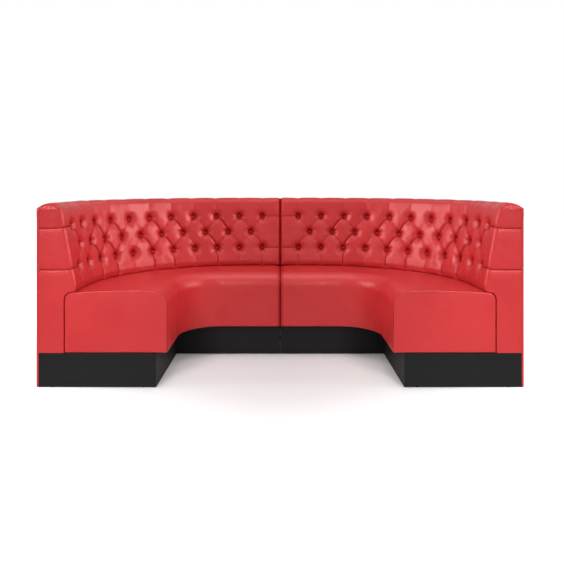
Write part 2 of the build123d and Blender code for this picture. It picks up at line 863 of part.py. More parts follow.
handed_pieces = {
    "kick_end_board": kick_end_board,
    "kick_side_board": kick_side_board,
    "kick_back_board": kick_back_board,
    "kick_seam_board": kick_seam_board,
    "base_deck": base_deck,
    "outer_panel": outer_panel,
    "outer_cover": outer_cover,
    "seat_base": seat_base,
    "seat_fascia": seat_fascia,
    "seat_rear_wall": seat_rear_wall,
    "seat_front_rail": seat_front_rail,
    "seat_rear_rail": seat_rear_rail,
    "seat_end_board": seat_end_board,
    "seat_seam_board": seat_seam_board,
    "seat_foam": seat_foam,
    "seat_cover": seat_cover,
    "seat_end_panel": seat_end_panel,
    "back_end_board": back_end_board,
    "back_seam_board": back_seam_board,
    "back_lower_board": back_lower_board,
    "back_tuft_board": back_tuft_board,
    "back_top_rail": back_top_rail,
    "back_foam": back_foam,
    "back_cover": back_cover,
}
shared_groups = {
    "glides": glides,
    "deck_cleats": deck_cleats,
    "seat_bulkheads": seat_bulkheads,
    "seat_springs": seat_springs,
    "spring_clips": spring_clips,
    "back_ribs": back_ribs,
    "button_ties": button_ties,
}

os.makedirs("parts", exist_ok=True)
for name, make in handed_pieces.items():
    piece = make()
    save(name + "_right", piece)
    save(name + "_left", mirrored(piece))
for name, make in shared_groups.items():
    save(name, both_sides(make()))
buttons = back_buttons()
save("back_buttons_right", buttons)
save("back_buttons_left", [mirrored(button) for button in buttons])
save("joining_bolts", joining_bolts())
save("joining_nuts", joining_nuts())
save("joining_spacers", joining_spacers())
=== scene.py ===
import bpy
import bmesh
import json
from collections import namedtuple
from math import asin, atan2, cos, exp, hypot, pi, radians, sin, tan
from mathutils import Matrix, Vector, noise


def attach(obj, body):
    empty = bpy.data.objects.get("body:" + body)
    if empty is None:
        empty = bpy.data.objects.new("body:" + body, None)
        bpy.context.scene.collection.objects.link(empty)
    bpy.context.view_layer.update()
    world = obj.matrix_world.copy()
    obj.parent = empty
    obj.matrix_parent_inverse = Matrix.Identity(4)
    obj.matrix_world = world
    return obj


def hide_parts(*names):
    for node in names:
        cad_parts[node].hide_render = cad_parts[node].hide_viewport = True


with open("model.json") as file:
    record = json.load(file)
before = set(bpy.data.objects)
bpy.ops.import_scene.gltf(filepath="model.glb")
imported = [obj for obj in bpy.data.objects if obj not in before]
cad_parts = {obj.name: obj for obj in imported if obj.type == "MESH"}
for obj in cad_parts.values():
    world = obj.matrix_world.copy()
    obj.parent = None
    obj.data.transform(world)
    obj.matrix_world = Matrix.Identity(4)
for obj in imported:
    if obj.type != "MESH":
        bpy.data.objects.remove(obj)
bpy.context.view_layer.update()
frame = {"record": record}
scene = bpy.context.scene
print("frame loaded")


# camera, as the photograph was taken: level, straight in front

cameraSetup = {
    "place": (0, -3.4233, 0.93655), "lens": 39.893, "sensor": 36,
    "shiftX": 0.0032, "shiftY": -0.1749,
}

cameraData = bpy.data.cameras.new("camera")
cameraData.lens = cameraSetup["lens"]
cameraData.sensor_width = cameraSetup["sensor"]
cameraData.shift_x = cameraSetup["shiftX"]
cameraData.shift_y = cameraSetup["shiftY"]
camera = bpy.data.objects.new("camera", cameraData)
camera.location = cameraSetup["place"]
camera.rotation_euler = (radians(90), 0, 0)
scene.collection.objects.link(camera)
scene.camera = camera
scene.view_settings.view_transform = "Standard"
print("camera ready")


# shader helpers

def newMaterial(name):
    material = bpy.data.materials.new(name)
    material.use_nodes = True
    tree = material.node_tree
    return material, tree, tree.nodes["Principled BSDF"]


def addNode(tree, kind, **values):
    node = tree.nodes.new(kind)
    for key, value in values.items():
        if key.startswith("in_"):
            node.inputs[key[3:].replace("_", " ")].default_value = value
        else:
            setattr(node, key, value)
    return node


def objectCoords(tree, stretch=None):
    coords = addNode(tree, "ShaderNodeTexCoord").outputs["Object"]
    if stretch is None:
        return coords
    mapping = addNode(tree, "ShaderNodeMapping", in_Scale=stretch)
    tree.links.new(coords, mapping.inputs["Vector"])
    return mapping.outputs["Vector"]


def addTexture(tree, kind, coords, values):
    node = addNode(tree, kind[0], **values)
    tree.links.new(coords, node.inputs["Vector"])
    return node.outputs[kind[1]]


def addBump(tree, shader, height, distance, strength):
    bump = addNode(tree, "ShaderNodeBump", in_Distance=distance, in_Strength=strength)
    tree.links.new(height, bump.inputs["Height"])
    tree.links.new(bump.outputs["Normal"], shader.inputs["Normal"])


def ramp(tree, source, stops):
    node = addNode(tree, "ShaderNodeValToRGB")
    elements = node.color_ramp.elements
    while len(elements) < len(stops):
        elements.new(0.5)
    for element, (place, color) in zip(elements, stops):
        element.position = place
        element.color = (*color, 1)
    tree.links.new(source, node.inputs["Fac"])
    return node.outputs["Color"]


def mathNode(tree, operation, first, second):
    node = addNode(tree, "ShaderNodeMath", operation=operation)
    for socket, value in zip(node.inputs, (first, second)):
        if isinstance(value, (int, float)):
            socket.default_value = value
        else:
            tree.links.new(value, socket)
    return node.outputs[0]


def mixColor(tree, factor, base, color):
    node = addNode(tree, "ShaderNodeMix", data_type="RGBA")
    share, first, second, result = 0, 6, 7, 2    # the node's sockets for colours
    tree.links.new(factor, node.inputs[share])
    tree.links.new(base, node.inputs[first])
    node.inputs[second].default_value = (*color, 1)
    return node.outputs[result]


def newGroup(name, settings, outputs):
    group = bpy.data.node_groups.new(name, "ShaderNodeTree")
    sockets = group.interface
    sockets.new_socket(name="Vector", in_out="INPUT", socket_type="NodeSocketVector")
    for label, value in settings.items():
        socket = sockets.new_socket(name=label, in_out="INPUT", socket_type="NodeSocketFloat")
        socket.default_value = value
    for label in outputs:
        sockets.new_socket(name=label, in_out="OUTPUT", socket_type="NodeSocketFloat")
    return group, group.nodes.new("NodeGroupInput"), group.nodes.new("NodeGroupOutput")


def placeGroup(tree, group, coords, **values):
    node = tree.nodes.new("ShaderNodeGroup")
    node.node_tree = group
    tree.links.new(coords, node.inputs["Vector"])
    for key, value in values.items():
        node.inputs[key].default_value = value
    return node


# shared effects

noiseKind, cellKind = ("ShaderNodeTexNoise", "Fac"), ("ShaderNodeTexVoronoi", "Distance")
grain = {
    "pebbles": {"in_Scale": 620},
    "pores": {"in_Scale": 900, "in_Detail": 3}, "poreShare": 0.6,
    "waves": {"in_Scale": 26, "in_Detail": 4, "in_Roughness": 0.55},
    "patches": {"in_Scale": 3.2, "in_Detail": 5, "in_Roughness": 0.6},
}
dust = {"spots": {"in_Scale": 38, "in_Detail": 6, "in_Roughness": 0.7}, "top": 0.16}


def makeGrainGroup():
    # fine pebbled grain with soft uneven stretching of the skin
    group, start, end = newGroup("vinylGrain", {"Grain": 1.0, "Waves": 1.0}, ("Height", "Patches"))
    coords = start.outputs["Vector"]
    pebbles = addTexture(group, cellKind, coords, grain["pebbles"])
    pores = addTexture(group, noiseKind, coords, grain["pores"])
    waves = addTexture(group, noiseKind, coords, grain["waves"])
    patches = addTexture(group, noiseKind, coords, grain["patches"])
    fine = mathNode(group, "ADD", pebbles, mathNode(group, "MULTIPLY", pores, grain["poreShare"]))
    fine = mathNode(group, "MULTIPLY", fine, start.outputs["Grain"])
    broad = mathNode(group, "MULTIPLY", waves, start.outputs["Waves"])
    group.links.new(mathNode(group, "ADD", fine, broad), end.inputs["Height"])
    group.links.new(patches, end.inputs["Patches"])
    return group


def makeDustGroup():
    # faint dust and scuffs, thicker towards the floor
    group, start, end = newGroup("floorDust", {"Top": dust["top"]}, ("Mask",))
    coords = start.outputs["Vector"]
    z = addTexture(group, ("ShaderNodeSeparateXYZ", "Z"), coords, {})
    spots = addTexture(group, noiseKind, coords, dust["spots"])
    height = mathNode(group, "DIVIDE", z, start.outputs["Top"])
    low = mathNode(group, "MAXIMUM", mathNode(group, "SUBTRACT", 1.0, height), 0.0)
    group.links.new(mathNode(group, "MULTIPLY", low, spots), end.inputs["Mask"])
    return group


grainGroup = makeGrainGroup()
dustGroup = makeDustGroup()


# red vinyl

red = {
    "deep": (0.545, 0.021, 0.023),
    "color": (0.590, 0.027, 0.029),
    "pale": (0.620, 0.033, 0.035),
    # painted shade: the dark red that the fold attribute mixes into creases, pits, seams and gaps
    "fold": (0.330, 0.001, 0.003),
    # buttons are painted darker than the skin and lose pale gloss, as the shade in their pits
    "shadedButtonDeep": (0.280, 0.002, 0.004),
    "button": (0.340, 0.003, 0.006),
    "patches": (0.3, 0.5, 0.72),    # where the skin is deep, plain and pale
    "shadeGlossLoss": 0.75,    # share of the pale gloss taken away as painted shade in a fold, and on a button
    "buttonShadeGlossLoss": 0.40,
    "foldRoughness": 0.35, "patchRoughness": 0.1,
    "grain": 0.12,
    "gloss": 0.85,
    "glossTint": (1.0, 0.52, 0.53),
}
skinTones = (red["deep"], red["color"], red["pale"])
shadedButtonTones = (red["shadedButtonDeep"], red["button"], red["button"])


def makeVinyl(name, tones, waves, waveHeight, roughness, folded=False):
    material, tree, shader = newMaterial(name)
    node = placeGroup(tree, grainGroup, objectCoords(tree), Grain=red["grain"], Waves=waves)
    patches = node.outputs["Patches"]
    base = ramp(tree, patches, list(zip(red["patches"], tones)))
    rough = mathNode(tree, "ADD", roughness - red["patchRoughness"] / 2,
                     mathNode(tree, "MULTIPLY", patches, red["patchRoughness"]))
    if folded:
        # painted shade: the fold attribute darkens the colour towards the crease shade
        fold = addNode(tree, "ShaderNodeAttribute", attribute_name="fold").outputs["Fac"]
        base = mixColor(tree, fold, base, red["fold"])
        rough = mathNode(tree, "ADD", rough, mathNode(tree, "MULTIPLY", fold, red["foldRoughness"]))
        # painted shade also takes the pale gloss out of folds, through Metallic
        depth = mathNode(tree, "MULTIPLY", fold, red["shadeGlossLoss"])
        tree.links.new(depth, shader.inputs["Metallic"])
    tree.links.new(base, shader.inputs["Base Color"])
    tree.links.new(rough, shader.inputs["Roughness"])
    addBump(tree, shader, node.outputs["Height"], waveHeight, 1.0)
    shader.inputs["Specular IOR Level"].default_value = red["gloss"]
    shader.inputs["Specular Tint"].default_value = (*red["glossTint"], 1)
    return material


vinylPadded = makeVinyl("redVinylPadded", skinTones, waves=1.0, waveHeight=0.0020,
                        roughness=0.33, folded=True)
vinylSmooth = makeVinyl("redVinylSmooth", skinTones, waves=0.6, waveHeight=0.0012, roughness=0.38)
# the buttons' vinyl, painted darker with less pale gloss to stand for the shade in their pits
vinylButtonShaded = makeVinyl("redVinylButtonShaded", shadedButtonTones, waves=0.2, waveHeight=0.0006, roughness=0.26)
buttonShader = vinylButtonShaded.node_tree.nodes["Principled BSDF"]
buttonShader.inputs["Metallic"].default_value = red["buttonShadeGlossLoss"]
print("vinyl ready")


# hard finishes

plain = {"at": (0.3, 0.7), "kind": noiseKind, "stretch": None, "bump": (0.0001, 0.5), "metallic": 0.0}
specks = {"in_Scale": 160, "in_Detail": 5}
fineSpecks = {"in_Scale": 240, "in_Detail": 5}
hard = {
    "plinth_laminate": {
        "name": "blackLaminate", "tones": ((0.010, 0.010, 0.0105), (0.015, 0.015, 0.0155)),
        "stretch": (1, 1, 9), "pattern": {"in_Scale": 60, "in_Detail": 5},
        "roughness": 0.42, "bump": (0.0002, 0.5)},
    "plywood": {
        "name": "birchPlywood", "tones": ((0.42, 0.26, 0.13), (0.66, 0.48, 0.29)), "at": (0.35, 0.65),
        "stretch": (2, 2, 26), "pattern": {"in_Scale": 6, "in_Detail": 6, "in_Distortion": 0.6},
        "roughness": 0.62, "bump": (0.0003, 0.6)},
    "foam": {
        "name": "cushionFoam", "tones": ((0.62, 0.55, 0.33), (0.84, 0.78, 0.55)), "at": (0.0, 0.6),
        "kind": cellKind, "pattern": {"in_Scale": 700}, "roughness": 0.95, "bump": (0.0005, 0.8)},
    "glide_plastic": {
        "name": "glidePlastic", "tones": ((0.02, 0.02, 0.02), (0.05, 0.05, 0.05)),
        "pattern": specks, "roughness": 0.5},
    "clip_plastic": {
        "name": "clipPlastic", "tones": ((0.66, 0.66, 0.62), (0.8, 0.8, 0.76)),
        "pattern": specks, "roughness": 0.45},
    "spring_steel": {
        "name": "springSteel", "tones": ((0.16, 0.15, 0.15), (0.3, 0.3, 0.31)),
        "pattern": fineSpecks, "roughness": 0.35, "metallic": 1.0},
    "zinc_steel": {
        "name": "zincSteel", "tones": ((0.42, 0.42, 0.43), (0.6, 0.6, 0.62)),
        "pattern": fineSpecks, "roughness": 0.3, "metallic": 1.0},
    "twine": {
        "name": "waxedTwine", "tones": ((0.5, 0.44, 0.34), (0.76, 0.7, 0.58)),
        "pattern": {"in_Scale": 900, "in_Detail": 5}, "roughness": 0.8},
}
dusting = {"color": (0.12, 0.11, 0.10), "share": 0.05, "roughness": 0.3, "gloss": 0.13}


def makeHard(finish):
    values = {**plain, **finish}
    material, tree, shader = newMaterial(values["name"])
    coords = objectCoords(tree, values["stretch"])
    pattern = addTexture(tree, values["kind"], coords, values["pattern"])
    base = ramp(tree, pattern, list(zip(values["at"], values["tones"])))
    tree.links.new(base, shader.inputs["Base Color"])
    shader.inputs["Roughness"].default_value = values["roughness"]
    shader.inputs["Metallic"].default_value = values["metallic"]
    addBump(tree, shader, pattern, *values["bump"])
    return material


def addDust(material, roughness):
    tree = material.node_tree
    shader = tree.nodes["Principled BSDF"]
    mask = placeGroup(tree, dustGroup, objectCoords(tree)).outputs["Mask"]
    clean = shader.inputs["Base Color"].links[0].from_socket
    dusty = mathNode(tree, "MULTIPLY", mask, dusting["share"])
    tree.links.new(mixColor(tree, dusty, clean, dusting["color"]), shader.inputs["Base Color"])
    rough = mathNode(tree, "ADD", roughness, mathNode(tree, "MULTIPLY", mask, dusting["roughness"]))
    tree.links.new(rough, shader.inputs["Roughness"])
    shader.inputs["Specular IOR Level"].default_value = dusting["gloss"]


finishes = {slotName: makeHard(finish) for slotName, finish in hard.items()}
finishes["red_vinyl"] = vinylSmooth
addDust(finishes["plinth_laminate"], hard["plinth_laminate"]["roughness"])


def dressNode(name, material):
    data = bpy.data.objects[name].data
    data.materials.clear()
    data.materials.append(material)


for part in frame["record"]["subparts"]:
    dressNode(part["node"], finishes[part["material_slot"]])
for side in ("right", "left"):
    dressNode("back_buttons_" + side, vinylButtonShaded)
print("frame parts dressed")


# the bent plan, right-hand half; the left one is mirrored

plan = {"halfWidth": 1.1176, "frontY": -0.5588, "backY": 0.5588, "cornerRadius": 0.926, "seamX": 0.0}
cornerX = plan["halfWidth"] - plan["cornerRadius"]
cornerY = plan["backY"] - plan["cornerRadius"]
legLength = cornerY - plan["frontY"]
quarter = pi / 2


def pathLength(inset):
    return legLength + (plan["cornerRadius"] - inset) * quarter + cornerX - plan["seamX"]


def station(distance, inset):
    # a point on the outer line and the way inwards from it
    radius = plan["cornerRadius"] - inset
    if distance <= legLength:
        return Vector((plan["halfWidth"], plan["frontY"] + distance, 0)), Vector((-1, 0, 0))
    turned = (distance - legLength) / radius
    if turned < quarter:
        out = Vector((cos(turned), sin(turned), 0))
        return Vector((cornerX, cornerY, 0)) + out * plan["cornerRadius"], -out
    past = distance - legLength - radius * quarter
    return Vector((cornerX - past, plan["backY"], 0)), Vector((0, -1, 0))


def spread(first, last, count):
    # evenly spaced values, without the first one
    return [first + (last - first) * step / count for step in range(1, count + 1)]


def smooth(value):
    value = min(max(value, 0.0), 1.0)
    return value * value * (3 - 2 * value)


def rise(value, band):
    # a band is where a change starts and how far it runs
    return smooth((value - band[0]) / band[1])


def fall(value, band):
    return smooth((band[0] - value) / band[1])


def marked(kind, values):
    return [(kind, value) for value in values]


def shapeSheet(stops, rows, pointAt, side):
    # a grid with one column of points for each stop and one line for each row, moved into place
    mirror = 1 if side == "right" else -1
    bm = bmesh.new()
    bmesh.ops.create_grid(bm, x_segments=len(stops) - 1, y_segments=len(rows) - 1, size=0.5)
    bm.verts.ensure_lookup_table()
    # each point's painted shade, which pointAt gives with its position
    folds = [0.0] * len(bm.verts)
    for vert in bm.verts:
        kind, value = stops[round((vert.co.x + 0.5) * (len(stops) - 1))]
        line = round((vert.co.y + 0.5) * (len(rows) - 1))
        point, folds[vert.index] = pointAt(kind, value, line, mirror)
        point.x *= mirror
        vert.co = point
    return bm, folds


def finishPiece(name, bm, material, folds=None):
    bmesh.ops.recalc_face_normals(bm, faces=bm.faces)
    data = bpy.data.meshes.new(name)
    bm.to_mesh(data)
    bm.free()
    # the fold attribute carries painted shade for creases, pits, seams, gaps and rolled edges
    if folds:
        layer = data.attributes.new("fold", "FLOAT", "POINT")
        layer.data.foreach_set("value", folds)
    for polygon in data.polygons:
        polygon.use_smooth = True
    data.materials.append(material)
    piece = bpy.data.objects.new(name, data)
    scene.collection.objects.link(piece)
    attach(piece, "root")
    return piece


# tufted back

back = {
    # places of the buttons
    "columns": 11, "topRow": 0.734, "rowPitch": 0.095, "frontMargin": 0.126, "seamMargin": 0.111,
    "inset": 0.118,    # where the column pitch is measured
    # section, from the floor of the front up over the crown
    "lowInset": 0.178, "low": 0.438, "rake": radians(10.5), "top": 0.845,
    "topRoll": 0.030, "crownInset": 0.070, "outerTop": 0.821, "outerInset": 0.0104,
    "lowerInset": 0.126, "bottom": 0.1592, "seatTop": 0.4365, "seatRoll": 0.038,
    "tuckRadius": 0.007, "tuckBehind": 0.004,
    "lowerSteps": 9, "seatSteps": 9, "tuckSteps": 5, "rollSteps": 10, "crownSteps": 18,
    # rolled end at the front: how much of it there is at the seat's rear edge, tuck and face
    "endRoll": 0.024, "edgeRoll": 0.003, "endSteps": 9,
    "seatShare": 0.4, "gapShare": 0.7, "tuckShare": 0.8, "faceShare": 0.82, "faceGrowth": 6,
    # rounded edge at the seam
    "seamRoll": 0.012, "seamFlat": 0.6, "seamAngles": (90, 70, 50, 32, 16),
    "seamDepth": 0.025, "seamShares": (1.0, 0.6, 0.25), "shallowShare": 0.3, "shallowInset": 0.05,
    # flat strip from the rolled end to the outer skin
    "frontSpan": 0.14, "frontSteps": 10, "frontLevel": 1.3, "frontEven": 3,
    "frontSwell": 0.0015, "frontBand": (0.2, 0.1), "crownBelow": 0.004, "outerBelow": 0.0015,
    "tuckAbove": 0.012, "rowSlack": 0.0001,
    # grid cells in half a column pitch and in a row pitch, and the bins that speed up the search
    "cells": 24, "binWidth": 0.05, "binReach": 0.07,
    # pull of a button, the fine folds round it, and the painted shade of its pit, set a little above
    # the button
    "dimple": 0.0225, "dimpleReach": 0.054, "dimplePower": 2.2, "buttonFlat": 0.010,
    "wrinkle": 0.0010, "wrinkleCounts": (7, 11), "wrinkleShare": 0.6,
    "wrinkleSeeds": (91, 57), "wrinkleTurn": 2.3,
    "ringRise": (0.010, 0.006), "ringFall": (0.042, 0.024),
    "pitShade": 0.95, "pitLift": 0.003, "pitBand": (0.027, 0.018), "pitHeight": 0.8,
    # pleats: depth at the start, in the middle and at the end, sag, and painted shade of the crease
    "steepPleat": (0.017, 0.0115, 0.017, 0.011, 1.0),
    "flatPleat": (0.017, 0.0065, 0.017, 0.002, 0.6),
    "upperPleat": (0.015, 0.0070, 0.0080, 0.0, 0.3),
    "lowerPleat": (0.015, 0.0085, 0.0080, 0.004, 1.0),
    "seamPleat": (0.014, 0.0050, 0.0050, 0.0, 0.6),
    "endPleat": (0.014, 0.0050, 0.0035, 0.0, 1.0),
    "upperEnd": 0.99, "upperSharp": 0.35, "lowerEnd": 0.40, "seamReach": 0.2, "endReach": 0.4,
    # how sharply the skin is folded at each column of full rows, from the front end to the seam
    "foldShares": (1.0, 0.1, 1.0, 1.0, 0.1, 1.0, 1.0, 0.2, 1.0, 0.3, 0.45),
    # a pleat across its crease: broad pull, fold above or below or beside it, the crease, and its
    # painted shade
    "pleatSlack": 0.01, "upright": 0.001, "sagSpan": 0.05, "pleatSettle": 0.022,
    "broadWidth": 0.052, "broadPull": 0.54, "softShare": 0.75,
    "aboveWidth": 0.010, "belowWidth": 0.018, "besideWidth": 0.012,
    "foldPull": 0.30, "foldPower": 1.6, "creaseWidth": 0.0035, "creasePull": 0.18,
    "shadeWidth": 0.0058, "shadePower": 1.4,
    # swell and unevenness of the skin
    "puff": 0.0065, "wave": 0.0015, "frontWave": 0.0005,
    "waveScale": 9, "rippleScale": 24, "rippleShare": 0.5, "waveSeed": 3.1, "rippleSeed": 7.7,
    "fadeLow": (0.44, 0.03), "fadeTop": 0.045, "fadeSeam": 0.03,
    "crownLoss": 0.65, "crownBand": (0.80, 0.06), "pullBand": (0.436, 0.012),
    "cutStart": 0.8205, "cutSpan": 0.0416, "cornerCut": 0.0045,    # the crown's nearly flat corner
    # painted shade low down behind the seat, in the gap below the face and beside the seam
    "lowShade": 0.5, "lowBand": (0.022, 0.02), "rearShade": 0.35, "rearBand": (0.95, 0.35),
    "gapShade": 0.9, "seamShade": 0.95, "seamBand": (0.014, 0.009),
}
backLength = pathLength(back["inset"])
tuftPitch = (backLength - back["frontMargin"] - back["seamMargin"]) / (back["columns"] - 1)
# place is the distance along the face for the tufting, or None below the face
sectionRow = namedtuple("sectionRow", "inset height normalT normalZ roll place")
# start and end are (distance, height)
pleatLine = namedtuple("pleatLine", "start end startDepth midDepth endDepth sag tone sharp")


def faceInset(height):
    return back["lowInset"] - (height - back["low"]) * tan(back["rake"])


def sectionRows():
    rows = []
    rake, topRoll = back["rake"], back["topRoll"]
    cell = back["rowPitch"] / back["cells"]
    bottomRow = back["topRow"] - 2 * back["rowPitch"]
    seatZ, roll = back["seatTop"], back["seatRoll"]
    edge, end = back["edgeRoll"], back["endRoll"]
    lower = spread(back["bottom"], seatZ - roll, back["lowerSteps"])
    for z in [back["bottom"]] + lower:
        rows.append((back["lowerInset"], z, 1, 0, edge, None))
    for angle in spread(0, quarter, back["seatSteps"]):    # round the seat's rear edge
        t = back["lowerInset"] + roll * (1 - cos(angle))
        z = seatZ - roll * (1 - sin(angle))
        rows.append((t, z, 1, 0, edge + (end - edge) * back["seatShare"] * angle, None))
    tuck = back["tuckRadius"]
    centre = (faceInset(seatZ + tuck) - tuck, seatZ + tuck)
    rows.append((centre[0] - back["tuckBehind"], seatZ, 1, 0, end * back["gapShare"], None))
    for angle in spread(-quarter, rake, back["tuckSteps"]):
        z = centre[1] + tuck * sin(angle)
        rows.append((centre[0] + tuck * cos(angle), z, 1, 0, end * back["tuckShare"], z))
    startZ = rows[-1][1]
    normal = (cos(rake), sin(rake))
    reach = topRoll / tan((quarter + rake) / 2)
    rollZ = back["top"] - reach * cos(rake)
    heights = spread(startZ, bottomRow, round((bottomRow - startZ) / cell))
    heights += spread(bottomRow, back["topRow"], 2 * back["cells"])
    heights += spread(back["topRow"], rollZ, round((rollZ - back["topRow"]) / cell))
    for z in heights:
        grown = end * min(1, back["faceShare"] + (z - startZ) * back["faceGrowth"])
        rows.append((faceInset(z), z, *normal, grown, z))
    along = rollZ
    centre = (faceInset(rollZ) - topRoll * normal[0], rollZ - topRoll * normal[1])
    for angle in spread(rake, quarter, back["rollSteps"]):
        across = (cos(angle), sin(angle))
        rows.append((centre[0] + topRoll * across[0], centre[1] + topRoll * across[1],
                     *across, end, along + topRoll * (angle - rake)))
    along += topRoll * (quarter - rake)
    drop = back["top"] - back["outerTop"]
    radius = (back["crownInset"] ** 2 + drop ** 2) / (2 * drop)
    sweep = asin(back["crownInset"] / radius)
    along += centre[0] - back["crownInset"]
    for angle in [0] + spread(0, sweep, back["crownSteps"]):
        across = (-sin(angle), cos(angle))
        rows.append((back["crownInset"] + radius * across[0],
                     back["top"] - radius + radius * across[1], *across,
                     end + (edge - end) * smooth(angle / sweep), along + radius * angle))
    return [sectionRow(*row) for row in rows]


def columnStops():
    # from the seam's inside face round to the outer strip at the front
    cell = tuftPitch / 2 / back["cells"]
    first, last = back["frontMargin"], backLength - back["seamMargin"]
    near, end = backLength - back["seamRoll"], back["endRoll"]
    stops = marked("seam", back["seamShares"]) + marked("seamRoll", back["seamAngles"])
    path = [near] + spread(near, last, round((near - last) / cell))
    path += spread(last, first, (back["columns"] - 1) * 2 * back["cells"])
    path += spread(first, end, round((first - end) / cell))
    stops += marked("path", path) + marked("endRoll", spread(0, 90, back["endSteps"]))
    return stops + marked("front", spread(0, 1, back["frontSteps"]))


def makePleats():
    top = back["topRow"]
    middle = top - back["rowPitch"]
    bottom = middle - back["rowPitch"]
    full = [back["frontMargin"] + tuftPitch * column for column in range(back["columns"])]
    between = [s + tuftPitch / 2 for s in full[:-1]]
    buttons = [(s, top) for s in full] + [(s, middle) for s in between] + [(s, bottom) for s in full]
    pleats = []
    for column, s in enumerate(between):
        for side in (-1, 1):
            sharp = back["foldShares"][column + (side > 0)]
            for row in (top, bottom):
                steep = (side < 0) == (row == top)
                form = back["steepPleat" if steep else "flatPleat"]
                pleats.append(pleatLine((s, middle), (s + side * tuftPitch / 2, row), *form, sharp))
    for s, sharp in zip(full, back["foldShares"]):
        upperSharp = back["upperSharp"] * sharp
        pleats.append(pleatLine((s, top), (s, back["upperEnd"]), *back["upperPleat"], upperSharp))
        pleats.append(pleatLine((s, bottom), (s, back["lowerEnd"]), *back["lowerPleat"], sharp))
    for row in (top, bottom):
        seamEnd, frontEnd = full[-1] + back["seamReach"], full[0] - back["endReach"]
        pleats.append(pleatLine((full[-1], row), (seamEnd, row), *back["seamPleat"], 1.0))
        pleats.append(pleatLine((full[0], row), (frontEnd, row), *back["endPleat"], 1.0))
    return buttons, pleats


def binKey(s):
    return int(s // back["binWidth"])


def binByPlace(items, span):
    bins = {}
    for item in items:
        low, high = span(item)
        for key in range(binKey(low - back["binReach"]), binKey(high + back["binReach"]) + 1):
            bins.setdefault(key, []).append(item)
    return bins


def firstRow(height):
    return next(line for line, row in enumerate(backRows) if row.height > height)


backRows, backStops = sectionRows(), columnStops()
buttons, pleats = makePleats()
buttonBins = binByPlace(buttons, lambda button: (button[0], button[0]))
pleatBins = binByPlace(pleats, lambda pleat: sorted((pleat.start[0], pleat.end[0])))
crownRow = firstRow(back["crownBand"][0])
# rows of the seat's rear edge and the tuck, which lie evenly on the flat front end
tuckStart = firstRow(back["seatTop"] - back["seatRoll"] + back["rowSlack"]) - 1
tuckEnd = firstRow(back["seatTop"] + back["tuckAbove"])


def pleatDepth(pleat, s, w):
    # how deep this pleat pulls the skin at a point, and the painted shade of its crease there
    (s0, w0), (s1, w1) = pleat.start, pleat.end
    ds, dw = s1 - s0, w1 - w0
    upright = abs(ds) < back["upright"]
    length = hypot(ds, dw)
    along = ((s - s0) * ds + (w - w0) * dw) / length
    if along < -back["pleatSlack"] or along > length + back["pleatSlack"]:
        return 0.0, 0.0
    along = min(max(along, 0.0), length)
    offset = ((w - w0) * ds - (s - s0) * dw) / length
    if ds < 0:
        offset = -offset    # positive above the crease
    if upright:
        sagged = sin(pi * min(1.0, along / back["sagSpan"]))
        offset = abs(offset + pleat.sag * sagged)
    else:
        offset -= pleat.sag * 4 * along / length * (1 - along / length)
    near = exp(-along / back["pleatSettle"])
    far = exp(-(length - along) / back["pleatSettle"])
    depth = pleat.midDepth + (pleat.startDepth - pleat.midDepth) * near
    depth += (pleat.endDepth - pleat.midDepth) * far
    # the upper side bulges over the crease
    fold = back["aboveWidth"] if offset > 0 else back["belowWidth"]
    if upright:
        fold = back["besideWidth"]
    away, sharp = abs(offset), pleat.sharp
    wide = max(0.0, 1 - away / back["broadWidth"])
    tight = max(0.0, 1 - away / fold)
    crease = max(0.0, 1 - away / back["creaseWidth"])
    broad = back["broadPull"] * wide ** 2 * (back["softShare"] + (1 - back["softShare"]) * sharp)
    folded = back["foldPull"] * tight ** back["foldPower"] + back["creasePull"] * crease
    tone = max(0.0, 1 - away / back["shadeWidth"]) ** back["shadePower"]
    return depth * (broad + folded * sharp), pleat.tone * sharp * tone


def dimpleDepth(button, s, w):
    # how deep a button pulls the skin at a point, and the painted shade of its pit there, centred a
    # little above the button and taller than wide
    across, above = s - button[0], w - button[1]
    away = hypot(across, above)
    if away > back["dimpleReach"] + back["buttonFlat"]:
        return 0.0, 0.0
    share = max(0.0, 1 - max(0.0, away - back["buttonFlat"]) / back["dimpleReach"])
    angle = atan2(above, across)
    seed = button[0] * back["wrinkleSeeds"][0] + button[1] * back["wrinkleSeeds"][1]
    broad, fine = back["wrinkleCounts"]
    folds = cos(angle * broad + seed)
    folds += back["wrinkleShare"] * cos(angle * fine + back["wrinkleTurn"] * seed)
    ring = rise(away, back["ringRise"]) * fall(away, back["ringFall"])
    depth = back["dimple"] * share ** back["dimplePower"] + back["wrinkle"] * folds * ring
    lifted = hypot(across, back["pitHeight"] * (above - back["pitLift"]))
    return depth, back["pitShade"] * fall(lifted, back["pitBand"])


def tuftDepth(s, w):
    # all pleats and buttons near a point together: the pull, and the darkest painted shade
    total, dark = 0.0, 0.0
    for depthAt, bins in ((pleatDepth, pleatBins), (dimpleDepth, buttonBins)):
        for item in bins.get(binKey(s), ()):
            pull, tone = depthAt(item, s, w)
            total += pull ** 4
            dark = max(dark, tone)
    return total ** 0.25, dark


def pathPlace(kind, value):
    # distance along the back at one stop
    if kind == "path":
        return value
    if kind in ("seam", "seamRoll"):
        return backLength
    if kind == "endRoll":
        return back["endRoll"] * (1 - quarter * value / 90)
    return back["endRoll"] * (1 - quarter) - value * back["frontSpan"]


